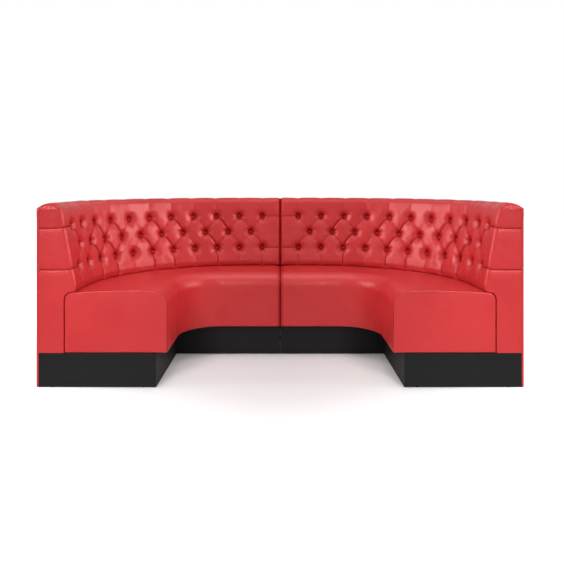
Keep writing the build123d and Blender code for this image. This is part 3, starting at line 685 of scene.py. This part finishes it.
def facePush(kind, value, place, mirror):
    # how far a point of the padded face stands out, and its painted shade
    s = pathPlace(kind, value)
    pulled, dark = tuftDepth(s, place)
    wave, ripple = back["waveScale"], back["rippleScale"]
    soft = noise.noise(Vector((s * wave, place * wave, back["waveSeed"] * mirror)))
    soft += back["rippleShare"] * noise.noise(
        Vector((s * ripple, place * ripple, back["rippleSeed"] * mirror)))
    fade = rise(place, back["fadeLow"])
    fade *= smooth((backRows[-1].place - place) / back["fadeTop"])
    ends = smooth((backLength - s) / back["fadeSeam"])
    crown = 1 - back["crownLoss"] * rise(place, back["crownBand"])
    swell = (back["puff"] * crown * ends + back["wave"] * soft) * fade
    turn = min(max((place - back["cutStart"]) / back["cutSpan"], 0.0), 1.0)
    swell -= back["cornerCut"] * sin(pi * turn) ** 2
    # painted shade in the tuck just above the seat, deeper towards the seam
    tuckShade = back["lowShade"] + back["rearShade"] * rise(s, back["rearBand"])
    tuckShade *= fall(place - back["seatTop"], back["lowBand"])
    if kind == "endRoll":
        swell *= 1 - smooth(value / 90)
        tuckShade *= 1 - value / 90
    elif kind == "front":
        swell = back["frontWave"] * soft * fade
        tuckShade = 0.0
    push = swell - pulled * rise(place, back["pullBand"])
    aside = backLength - s
    if kind in ("seam", "seamRoll"):
        push = 0.0
    if kind == "seamRoll":
        aside = back["seamRoll"] * (1 - sin(radians(value)))
    return push, max(dark, tuckShade, back["seamShade"] * fall(aside, back["seamBand"]))


def seamPoint(kind, value, row):
    roll = back["seamRoll"] if row.place is not None else back["edgeRoll"]
    if kind == "seamRoll":
        angle = radians(value)
        x = plan["seamX"] + roll * (1 - sin(angle))
        low = back["seamFlat"] * roll * (1 - cos(angle))
    else:
        x = plan["seamX"]
        share = back["shallowShare"] if row.inset < back["shallowInset"] else 1.0
        low = back["seamFlat"] * roll + back["seamDepth"] * value * share
    return Vector((x, plan["backY"] - row.inset + row.normalT * low,
                   row.height - row.normalZ * low))


def endPoint(kind, value, line, push):
    # on the rolled end, or on the flat strip between it and the outer skin
    row = backRows[line]
    angle = radians(value) if kind == "endRoll" else quarter
    low = row.roll * (1 - cos(angle))
    t = row.inset - row.normalT * low
    z = row.height - row.normalZ * low
    y = plan["frontY"] + row.roll * (1 - sin(angle))
    if kind == "endRoll":
        t += row.normalT * push * cos(angle)
        z += row.normalZ * push * cos(angle)
        y -= push * sin(angle)
        return Vector((plan["halfWidth"] - t, y, z))
    level = z
    if line > crownRow:
        lowest = backRows[crownRow].height - back["crownBelow"]
        highest = back["outerTop"] - back["outerBelow"]
        lift = (line - crownRow) / (len(backRows) - 1 - crownRow)
        level = lowest + (highest - lowest) * lift
    t += (back["outerInset"] - t) * value
    z += (level - z) * smooth(value * back["frontLevel"])
    if tuckStart < line < tuckEnd:
        upper = backRows[tuckEnd]
        first, last = backRows[tuckStart].height, upper.height - upper.normalZ * upper.roll
        even = first + (last - first) * (line - tuckStart) / (tuckEnd - tuckStart)
        z += (even - z) * smooth(value * back["frontEven"])
    swell = sin(pi * value) * rise(row.height, back["frontBand"])
    y -= push + back["frontSwell"] * swell
    return Vector((plan["halfWidth"] - t, y, z))


def backPoint(kind, value, line, mirror):
    row = backRows[line]
    if row.place is None:
        # painted shade where the back runs behind and beside the seat: full in the gap, fading round
        # the rolled end, none on the front strip
        push, shade = 0.0, 0.0 if kind == "front" else back["gapShade"]
        if kind == "endRoll":
            shade *= 1 - value / 90
    else:
        push, shade = facePush(kind, value, row.place, mirror)
    if kind == "path":
        start, inward = station(value, back["inset"])
        normal = inward * row.normalT + Vector((0, 0, row.normalZ))
        point = start + inward * row.inset + Vector((0, 0, row.height)) + normal * push
        return point, shade
    if kind in ("seam", "seamRoll"):
        return seamPoint(kind, value, row), shade
    return endPoint(kind, value, line, push), shade


def makeBack(side):
    bm, folds = shapeSheet(backStops, backRows, backPoint, side)
    piece = finishPiece("tuftedBack_" + side, bm, vinylPadded, folds)
    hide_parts("back_cover_" + side, "back_foam_" + side)
    return piece


for side in ("right", "left"):
    makeBack(side)
print("tufted back made")


# seat block

seat = {
    "inset": 0.43, "rearInset": 0.128, "innerX": 0.520, "innerDepth": 0.5335, "innerRadius": 0.215,
    "bottom": 0.1594, "crown": 0.447, "crownInset": 0.43, "crownRadius": 3.25,
    "frontRoll": 0.076, "rearRoll": 0.036, "endRoll": 0.006, "seamRoll": 0.011, "panel": 0.010,
    # grid
    "cell": 0.0048, "rearSteps": 9, "topSteps": 84, "frontSteps": 22, "innerSteps": 38,
    "endAngles": (90, 65, 42, 20), "seamAngles": (16, 32, 50, 70, 90), "halvings": 32,
    "underReach": 0.012, "endReach": 0.012,
    # unevenness and swell of the skin, and how it is drawn in at its ends
    "wave": 0.0010, "waveScale": 6, "rippleScale": 17, "rippleShare": 0.4,
    "waveSeed": 2.2, "rippleSeed": 5.1, "waveFade": 0.03, "innerSwell": 0.0022,
    "seamDrop": 0.0028, "seamDropSpan": 0.05, "endDrop": 0.0012, "endDropSpan": 0.04,
    # painted shade in its seams and behind it
    "endShade": 0.75, "seamShade": 0.9, "besideShade": 0.5, "besideSpan": 0.008,
    "rearShade": 0.8, "rearShadeAngle": 80,
}
seatInnerY = plan["frontY"] + seat["innerDepth"]
seatCornerX = seat["innerX"] - seat["innerRadius"]
seatCornerY = seatInnerY - seat["innerRadius"]
seatLength = pathLength(seat["inset"])
seatFirst, seatLast = seat["panel"] + seat["endRoll"], seatLength - seat["seamRoll"]


def pastInner(point):
    if point.y < seatCornerY:
        return point.x - seat["innerX"]
    if point.x < seatCornerX:
        return point.y - seatInnerY
    return hypot(point.x - seatCornerX, point.y - seatCornerY) - seat["innerRadius"]


def innerInset(start, inward):
    near, far = 0.0, plan["cornerRadius"]
    for _ in range(seat["halvings"]):
        middle = (near + far) / 2
        if pastInner(start + inward * middle) > 0:
            near = middle
        else:
            far = middle
    return near


def seatRows():
    # (kind, share or angle) up the rear, over the top and down the inner face
    rows = marked("rear", (0.0, 0.5, 1.0)) + marked("rearRoll", spread(0, 90, seat["rearSteps"]))
    rows += marked("top", spread(0, 1, seat["topSteps"]))
    rows += marked("frontRoll", spread(0, 90, seat["frontSteps"]))
    return rows + marked("inner", spread(0, 1, seat["innerSteps"])) + marked("under", (0.5, 1.0))


def crownHeight(inset):
    return seat["crown"] - (inset - seat["crownInset"]) ** 2 / (2 * seat["crownRadius"])


def seatPoint(start, inward, inner, kind, share):
    # position and outward normal on the seat's skin before its ends are rolled in
    rear, rearRoll, roll = seat["rearInset"], seat["rearRoll"], seat["frontRoll"]
    bottom = seat["bottom"]
    rearTop = crownHeight(rear + rearRoll) - rearRoll
    innerTop = crownHeight(inner - roll) - roll
    up = Vector((0, 0, 1))
    if kind == "rear":
        return start + inward * rear + up * (bottom + (rearTop - bottom) * share), -inward
    if kind == "rearRoll":
        angle = radians(share)
        normal = -inward * cos(angle) + up * sin(angle)
        return start + inward * (rear + rearRoll) + up * rearTop + normal * rearRoll, normal
    if kind == "top":
        t = rear + rearRoll + (inner - roll - rear - rearRoll) * share
        slope = (t - seat["crownInset"]) / seat["crownRadius"]
        return start + inward * t + up * crownHeight(t), (up + inward * slope).normalized()
    if kind == "frontRoll":
        angle = radians(share)
        normal = inward * sin(angle) + up * cos(angle)
        return start + inward * (inner - roll) + up * innerTop + normal * roll, normal
    if kind == "inner":
        return start + inward * inner + up * (innerTop + (bottom - innerTop) * share), inward
    return start + inward * (inner - seat["underReach"] * share) + up * bottom, -up


def seatStops():
    # from the front end round to the seam
    stops = marked("end", (1.0, 0.5)) + marked("endRoll", seat["endAngles"])
    steps = round((seatLast - seatFirst) / seat["cell"])
    stops += marked("path", [seatFirst] + spread(seatFirst, seatLast, steps))
    return stops + marked("seamRoll", seat["seamAngles"]) + marked("seam", (0.5, 1.0))


def seatPush(kind, share, point, toEnd, toSeam, mirror):
    # how far the padding stands out along the normal
    if kind in ("rear", "under"):
        return 0.0
    x, y, z = point.x * mirror, point.y, point.z
    wave, ripple = seat["waveScale"], seat["rippleScale"]
    skin = noise.noise(Vector((x * wave, y * wave, z * wave + seat["waveSeed"])))
    skin += seat["rippleShare"] * noise.noise(
        Vector((x * ripple, y * ripple, z * ripple + seat["rippleSeed"])))
    low = seat["seamDrop"] * (1 - smooth(toSeam / seat["seamDropSpan"]))
    low += seat["endDrop"] * (1 - smooth(toEnd / seat["endDropSpan"]))
    push = seat["wave"] * skin * smooth(min(toEnd, toSeam) / seat["waveFade"]) - low
    if kind == "inner":
        push += seat["innerSwell"] * sin(pi * share)
    return push


def rollEnd(point, normal, stop, value):
    # a point taken round the seat's end or seam edge, and its painted shade
    atEnd = stop in ("endRoll", "end")
    roll = seat["endRoll"] if atEnd else seat["seamRoll"]
    along = Vector((0, -1, 0)) if atEnd else Vector((-1, 0, 0))
    rolling = stop.endswith("Roll")
    angle = radians(value) if rolling else quarter
    deeper = 0.0 if rolling else seat["endReach"] * value
    inwards = normal * (roll * (1 - cos(angle)) + deeper)
    tone = seat["endShade"] if atEnd else seat["seamShade"]
    return point - inwards + along * roll * sin(angle), tone * sin(angle)


def seatStation(s):
    start, inward = station(s, seat["inset"])
    return start, inward, innerInset(start, inward)


seatLines, seatColumns = seatRows(), seatStops()
seatStations = {s: seatStation(s) for stop, s in seatColumns if stop == "path"}


def cushionPoint(stop, value, line, mirror):
    kind, share = seatLines[line]
    s = value if stop == "path" else (seatFirst if stop in ("end", "endRoll") else seatLast)
    point, normal = seatPoint(*seatStations[s], kind, share)
    toEnd, toSeam = s - seat["panel"], seatLength - s
    point = point + normal * seatPush(kind, share, point, toEnd, toSeam, mirror)
    # painted shade beside the seam, in the end and seam rolls, and on the rear face behind the back
    if stop == "path":
        beside = (toSeam - seat["seamRoll"]) / seat["besideSpan"]
        shade = seat["besideShade"] * smooth(1 - beside)
    else:
        point, shade = rollEnd(point, normal, stop, value)
    if kind == "rear":
        shade = max(shade, seat["rearShade"])
    elif kind == "rearRoll":
        shade = max(shade, seat["rearShade"] * (1 - smooth(share / seat["rearShadeAngle"])))
    return point, shade


def makeSeat(side):
    bm, folds = shapeSheet(seatColumns, seatLines, cushionPoint, side)
    piece = finishPiece("seatCushion_" + side, bm, vinylPadded, folds)
    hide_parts("seat_cover_" + side, "seat_foam_" + side)
    return piece


for side in ("right", "left"):
    makeSeat(side)
print("seat made")


# flat end panels of the seat, sewn in with a seam all round

endPanel = {
    "roll": 0.0055, "gap": 0.0006, "rollSteps": 6, "edgeShade": 0.75, "flatTo": 0.0008,
    "sideSteps": 12, "rearSteps": 7, "topSteps": 26, "frontSteps": 12,
    "cutsAcross": (0.55, 0.97, 15), "cutsUp": (0.17, 0.44, 10),
    "puff": 0.0022, "puffFrom": 0.16, "heightShare": 0.6,
    "wave": 0.0008, "waveScale": 8, "waveSeed": 1.3,
}


def endOutline():
    # (inset, height) round the panel, clockwise from the bottom of the rear side
    rear, rearRoll, roll = seat["rearInset"], seat["rearRoll"], seat["frontRoll"]
    bottom, side = seat["bottom"], endPanel["sideSteps"]
    inner = plan["halfWidth"] - seat["innerX"]
    rearTop = crownHeight(rear + rearRoll) - rearRoll
    innerTop = crownHeight(inner - roll) - roll
    points = [(rear, bottom + (rearTop - bottom) * step / side) for step in range(side + 1)]
    for angle in spread(0, quarter, endPanel["rearSteps"]):
        points.append((rear + rearRoll * (1 - cos(angle)), rearTop + rearRoll * sin(angle)))
    for share in spread(0, 1, endPanel["topSteps"]):
        t = rear + rearRoll + (inner - roll - rear - rearRoll) * share
        points.append((t, crownHeight(t)))
    for angle in spread(0, quarter, endPanel["frontSteps"]):
        points.append((inner - roll * (1 - sin(angle)), innerTop + roll * cos(angle)))
    points += [(inner, innerTop + (bottom - innerTop) * share) for share in spread(0, 1, side)]
    along = spread(0, 1, endPanel["topSteps"])[:-1]
    points += [(inner + (rear - inner) * share, bottom) for share in along]
    return points


def makeEndPanel(side):
    mirror = 1 if side == "right" else -1
    roll = endPanel["roll"]
    bm = bmesh.new()
    frontY = plan["frontY"] + endPanel["gap"]
    edge = frontY + seat["panel"]
    verts = [bm.verts.new((mirror * (plan["halfWidth"] - t), edge, z)) for t, z in endOutline()]
    face = bmesh.ops.contextual_create(bm, geom=verts)["faces"][0]
    bmesh.ops.recalc_face_normals(bm, faces=[face])
    if face.normal.y > 0:
        face.normal_flip()
    faces = bmesh.ops.extrude_discrete_faces(bm, faces=[face])["faces"]
    bmesh.ops.translate(bm, verts=list(faces[0].verts), vec=(0, roll - seat["panel"], 0))
    before = 0.0
    for angle in spread(0, quarter, endPanel["rollSteps"]):
        inwards = roll * (cos(before) - cos(angle))
        forwards = roll * (sin(angle) - sin(before))
        bmesh.ops.inset_region(bm, faces=faces, thickness=inwards, depth=forwards,
                               use_even_offset=True)
        before = angle
    cuts = [((mirror * x, 0, 0), (1, 0, 0)) for x in spread(*endPanel["cutsAcross"])]
    cuts += [((0, 0, z), (0, 0, 1)) for z in spread(*endPanel["cutsUp"])]
    for place, across in cuts:
        bmesh.ops.bisect_plane(bm, geom=bm.verts[:] + bm.edges[:] + bm.faces[:],
                               plane_co=place, plane_no=across)
    low, high = seat["innerX"], plan["halfWidth"] - seat["rearInset"]
    folds = [0.0] * len(bm.verts)
    bm.verts.index_update()
    for vert in bm.verts:
        behind = vert.co.y - frontY
        # painted shade on the rolled edge, darkest towards the seam round the panel
        if behind > endPanel["flatTo"]:
            folds[vert.index] = endPanel["edgeShade"] * smooth(behind / roll)
            continue
        across = (abs(vert.co.x) - low) / (high - low)
        above = (vert.co.z - seat["bottom"]) / (seat["crown"] - seat["bottom"])
        edge = min(across, 1 - across, min(above, 1 - above) * endPanel["heightShare"])
        scale = endPanel["waveScale"]
        skin = noise.noise(Vector((vert.co.x * scale, endPanel["waveSeed"], vert.co.z * scale)))
        push = endPanel["puff"] + endPanel["wave"] * skin
        vert.co.y -= push * smooth(edge / endPanel["puffFrom"])
    piece = finishPiece("seatEndPanel_" + side, bm, vinylPadded, folds)
    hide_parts("seat_end_panel_" + side)
    return piece


for side in ("right", "left"):
    makeEndPanel(side)
print("end panels made")


# smooth outer skin, wrapped over the panel and round both of its ends

outer = {
    "bottom": 0.003, "top": 0.821, "edge": 0.0030, "panel": 0.0100, "thickness": 0.0012,
    "join": 0.919, "joinDepth": 0.0016, "joinWidth": 0.0035, "joinCalm": 0.02,
    "swell": 0.0009, "swellFrom": 0.05, "waveScale": 5, "waveSeed": 2.4,
    # grid, finer beside the join
    "upSteps": 70, "edgeSteps": 5, "overSteps": 2, "alongSteps": 110,
    "joinSpan": 0.012, "joinSteps": 16, "angles": (30, 60, 90),
}


def outerRows():
    # inset, height and section normal, up the outside and over the top edge
    edge, top = outer["edge"], outer["top"]
    rows = [(0.0, outer["bottom"], -1.0, 0.0)]
    rows += [(0.0, z, -1.0, 0.0) for z in spread(outer["bottom"], top - edge, outer["upSteps"])]
    for angle in spread(0, quarter, outer["edgeSteps"]):
        rows.append((edge * (1 - cos(angle)), top - edge * (1 - sin(angle)),
                     -cos(angle), sin(angle)))
    rows += [(t, top, 0.0, 1.0) for t in spread(edge, outer["panel"], outer["overSteps"])]
    return rows


def outerStops():
    # from the seam round to the front
    edge, last = outer["edge"], pathLength(0) - outer["edge"]
    after, before = outer["join"] + outer["joinSpan"], outer["join"] - outer["joinSpan"]
    along = [last] + spread(last, after, outer["alongSteps"])
    along += spread(after, before, outer["joinSteps"])
    along += spread(before, edge, outer["alongSteps"])
    stops = marked("seam", (1.0, 0.5)) + marked("seamRoll", reversed(outer["angles"]))
    stops += marked("path", along) + marked("frontRoll", outer["angles"])
    return stops + marked("front", (0.5, 1.0))


outerLines, outerColumns = outerRows(), outerStops()
outerLength = pathLength(0)


def outerPush(s, z, mirror):
    # slight swell of the skin, and the sewn join
    away = abs(s - outer["join"])
    calm = smooth(min(s, outerLength - s, z, outer["top"] - z) / outer["swellFrom"])
    scale = outer["waveScale"]
    skin = noise.noise(Vector((s * scale, z * scale, outer["waveSeed"] * mirror)))
    push = outer["swell"] * (1 + skin) * calm * smooth(away / outer["joinCalm"])
    return push - outer["joinDepth"] * max(0.0, 1 - away / outer["joinWidth"])


def outerPoint(kind, value, line, mirror):
    edge = outer["edge"]
    t, z, normalT, normalZ = outerLines[line]
    push, angle = 0.0, radians(value) if kind.endswith("Roll") else quarter
    if kind == "path":
        s = value
        push = outerPush(s, z, mirror)
    else:
        s = outerLength - edge if kind in ("seam", "seamRoll") else edge
        low = edge * (1 - cos(angle))
        t, z = t - normalT * low, z - normalZ * low
        if kind in ("seam", "front"):
            t += (outer["panel"] - t) * value
    start, inward = station(s, 0)
    point = start + inward * (t + normalT * push) + Vector((0, 0, z + normalZ * push))
    if kind in ("front", "frontRoll"):
        point.y = plan["frontY"] + edge * (1 - sin(angle))
    if kind in ("seam", "seamRoll"):
        point.x = plan["seamX"] + edge * (1 - sin(angle))
    return point, 0.0


def makeOuterSkin(side):
    mirror = 1 if side == "right" else -1
    bm, _ = shapeSheet(outerColumns, outerLines, outerPoint, side)
    bmesh.ops.recalc_face_normals(bm, faces=bm.faces)
    # thickened inwards, so the outermost face has to face away from the sofa
    outermost = max(bm.faces, key=lambda face: face.calc_center_median().x * mirror)
    if outermost.normal.x * mirror < 0:
        bmesh.ops.reverse_faces(bm, faces=bm.faces)
    bmesh.ops.solidify(bm, geom=bm.faces, thickness=outer["thickness"])
    piece = finishPiece("outerSkin_" + side, bm, vinylSmooth)
    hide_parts("outer_cover_" + side)
    return piece


for side in ("right", "left"):
    makeOuterSkin(side)
print("outer skin made")


# floor, backdrop and light

studio = {
    "floorSize": 14.0, "floorCells": 4, "floorTint": (0.88, 0.88, 0.88),
    "floorRoughness": 0.9, "floorGloss": 0.1,
    # painted light: a glow only the camera sees, weak near the sofa so the rendered shadow stays and
    # strong far off so the floor turns white
    "lift": 0.06, "farLift": 0.95, "near": 0.6, "far": 1.8,    # glow the camera sees, near and far
    "airLight": 0.55, "airSeen": 1.0, "white": (1, 1, 1, 1),
}


def makeFloor():
    bm = bmesh.new()
    bmesh.ops.create_grid(bm, x_segments=studio["floorCells"], y_segments=studio["floorCells"],
                          size=studio["floorSize"])
    data = bpy.data.meshes.new("floor")
    bm.to_mesh(data)
    bm.free()
    floor = bpy.data.objects.new("floor", data)
    scene.collection.objects.link(floor)
    material, tree, shader = newMaterial("studioFloor")
    shader.inputs["Base Color"].default_value = (*studio["floorTint"], 1)
    shader.inputs["Roughness"].default_value = studio["floorRoughness"]
    shader.inputs["Specular IOR Level"].default_value = studio["floorGloss"]
    rays = addNode(tree, "ShaderNodeLightPath")
    distance = addNode(tree, "ShaderNodeVectorMath", operation="LENGTH")
    tree.links.new(objectCoords(tree), distance.inputs[0])
    away = addNode(tree, "ShaderNodeMapRange", interpolation_type="SMOOTHSTEP",
                   in_From_Min=studio["near"], in_From_Max=studio["far"],
                   in_To_Min=studio["lift"], in_To_Max=studio["farLift"])
    tree.links.new(distance.outputs["Value"], away.inputs["Value"])
    shader.inputs["Emission Color"].default_value = studio["white"]
    # painted light: camera-only glow on the floor, growing with distance from the sofa
    glow = mathNode(tree, "MULTIPLY", rays.outputs["Is Camera Ray"], away.outputs["Result"])
    tree.links.new(glow, shader.inputs["Emission Strength"])
    data.materials.append(material)


def makeWorld():
    world = bpy.data.worlds.new("studioAir")
    scene.world = world
    world.use_nodes = True
    tree = world.node_tree
    background = tree.nodes["Background"]
    rays = addNode(tree, "ShaderNodeLightPath")
    factor, light, seen = 0, 2, 3    # a Mix node's sockets for numbers
    strength = addNode(tree, "ShaderNodeMix", data_type="FLOAT")
    strength.inputs[light].default_value = studio["airLight"]
    strength.inputs[seen].default_value = studio["airSeen"]
    tree.links.new(rays.outputs["Is Camera Ray"], strength.inputs[factor])
    tree.links.new(strength.outputs[0], background.inputs["Strength"])
    background.inputs["Color"].default_value = studio["white"]


lamps = {
    "key": {"place": (-0.3, -2.6, 3.2), "aim": (0, 0, 0.4),
            "size": (1.8, 1.8), "power": 6, "spread": 180},
    "top": {"place": (0, -0.3, 3.0), "aim": (0, -0.3, 0),
            "size": (1.4, 1.4), "power": 3.6, "spread": 80},
    "left": {"place": (-2.7, 0.0, 1.6), "aim": (0.4, 0.1, 0.6),
             "size": (2.2, 1.2), "power": 8, "spread": 60, "mirrored": "right"},
    "legLeft": {"place": (-1.4, -2.8, 1.7), "aim": (-0.93, -0.56, 0.32),
                "size": (0.9, 0.9), "power": 1.95, "spread": 30, "mirrored": "legRight"},
}


def addLamp(name, lamp, mirror):
    data = bpy.data.lights.new(name, "AREA")
    data.shape = "RECTANGLE"
    data.size, data.size_y = lamp["size"]
    data.energy = lamp["power"]
    data.spread = radians(lamp["spread"])
    holder = bpy.data.objects.new(name, data)
    place, aim = Vector(lamp["place"]), Vector(lamp["aim"])
    place.x, aim.x = mirror * place.x, mirror * aim.x
    holder.location = place
    holder.rotation_euler = (aim - place).to_track_quat("-Z", "Y").to_euler()
    scene.collection.objects.link(holder)


makeFloor()
makeWorld()
for name, lamp in lamps.items():
    addLamp(name, lamp, 1)
    if "mirrored" in lamp:
        addLamp(lamp["mirrored"], lamp, -1)
print("studio ready")
